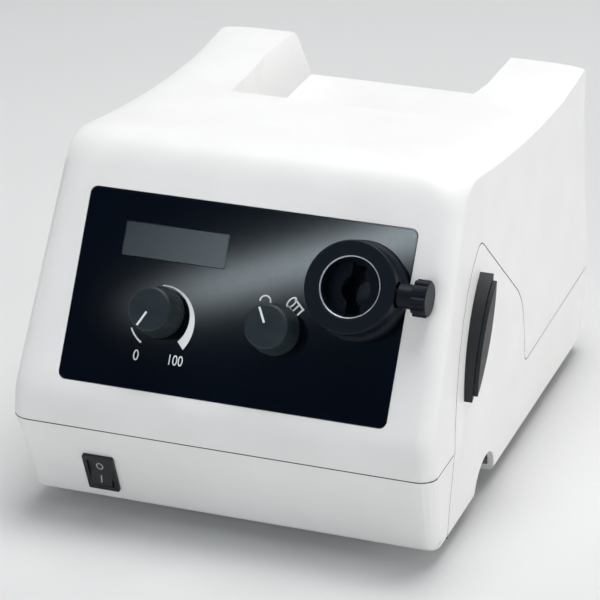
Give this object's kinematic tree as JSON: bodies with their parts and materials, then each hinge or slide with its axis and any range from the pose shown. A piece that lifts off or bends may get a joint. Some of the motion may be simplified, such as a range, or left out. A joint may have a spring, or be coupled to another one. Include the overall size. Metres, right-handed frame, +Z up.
{
  "type": "fiber optic illuminator",
  "caption": "Cold-light source with a leaning black front panel, display window, two knobs, round light guide port with clamp screw, and a carrying recess between rear horns.",
  "frame": {"origin": "on the table under the middle of the whole part's box", "axes": "+X to the user's right, +Y to the rear, +Z up"},
  "size_m": [0.2048, 0.2606, 0.1679],
  "materials": {
    "housing_plastic": "satin moulded",
    "black_plastic": "satin",
    "knob_plastic": "satin",
    "panel_gloss": "glossy",
    "display": "glossy",
    "sheet_metal": "zinc plated",
    "steel": "bright",
    "circuit_board": "solder resist",
    "brass": "turned",
    "glass": "polished",
    "anodised": "black anodised",
    "nylon": "natural",
    "mirror_glass": "dichroic",
    "ceramic": "ceramic",
    "aluminium": "extruded",
    "copper_coil": "enamelled winding",
    "rubber": "matt"
  },
  "bodies": {
    "housing": {"upper_housing": "housing_plastic", "base_tray": "housing_plastic", "front_panel": "panel_gloss", "display_window": "display", "display_module": "black_plastic", "mounting_plate": "sheet_metal", "control_board": "circuit_board", "potentiometer": "steel", "shaft_nuts": "brass", "port_collar": "anodised", "port_insert": "anodised", "port_nut": "anodised", "switch_bezel": "black_plastic", "switch_body": "black_plastic", "heat_filter": "glass", "filter_holder": "sheet_metal", "lamp_rail": "sheet_metal", "fan_frame": "black_plastic", "rear_grille": "black_plastic", "mains_inlet": "black_plastic", "transformer_core": "steel", "transformer_coil": "copper_coil", "power_board": "circuit_board", "heat_sink": "aluminium", "feet": "rubber", "housing_screws": "steel", "fan_screws": "steel", "panel_screws": "steel"},
    "intensity_dial": {"intensity_knob": "knob_plastic", "intensity_shaft": "steel"},
    "diaphragm_dial": {"diaphragm_knob": "knob_plastic", "diaphragm_shaft": "steel", "diaphragm_vane": "sheet_metal", "filter_glass": "glass"},
    "clamp_slider": {"clamp_pad": "nylon"},
    "clamp_spindle": {"clamp_screw": "anodised"},
    "rocker": {"switch_rocker": "black_plastic"},
    "lamp_module": {"side_cover": "housing_plastic", "side_grip": "black_plastic", "lamp_carriage": "sheet_metal", "lamp_reflector": "mirror_glass", "lamp_capsule": "glass", "lamp_socket": "ceramic"},
    "fan_wheel": {"fan_rotor": "black_plastic"},
    "fuse_holder": {"fuse_drawer": "black_plastic"}
  },
  "joints": [
    {"name": "intensity_turn", "type": "hinge", "parent": "housing", "child": "intensity_dial", "pos_m": [-0.03642, -0.10851, 0.1018], "axis": [0, 0.8607, -0.509], "range_deg": [0, 300]},
    {"name": "diaphragm_turn", "type": "hinge", "parent": "housing", "child": "diaphragm_dial", "pos_m": [0.01808, -0.10851, 0.1018], "axis": [0, 0.8607, -0.509], "range_deg": [0, 66]},
    {"name": "clamp_travel", "type": "slide", "parent": "housing", "child": "clamp_slider", "axis": [-1, 0, 0], "range_m": [0, 0.004]},
    {"name": "clamp_turn", "type": "hinge", "parent": "clamp_slider", "child": "clamp_spindle", "pos_m": [0.08258, -0.10452, 0.12524], "axis": [-1, 0, 0], "range_deg": [0, 1440]},
    {"name": "rocker_tilt", "type": "hinge", "parent": "housing", "child": "rocker", "pos_m": [-0.06242, -0.11968, 0.02462], "axis": [1, 0, 0], "range_deg": [0, 16]},
    {"name": "lamp_module_slide", "type": "slide", "parent": "housing", "child": "lamp_module", "axis": [1, 0, 0], "range_m": [0, 0.09]},
    {"name": "fan_spin", "type": "hinge", "parent": "housing", "child": "fan_wheel", "pos_m": [0.00958, 0.1147, 0.088], "axis": [0, 1, 0], "continuous": true},
    {"name": "fuse_slide", "type": "slide", "parent": "housing", "child": "fuse_holder", "axis": [0, 1, 0], "range_m": [0, 0.012]}
  ],
  "couplings": [
    {"joint": "clamp_turn", "follows": "clamp_travel", "rad_per_m": 6283.2}
  ]
}
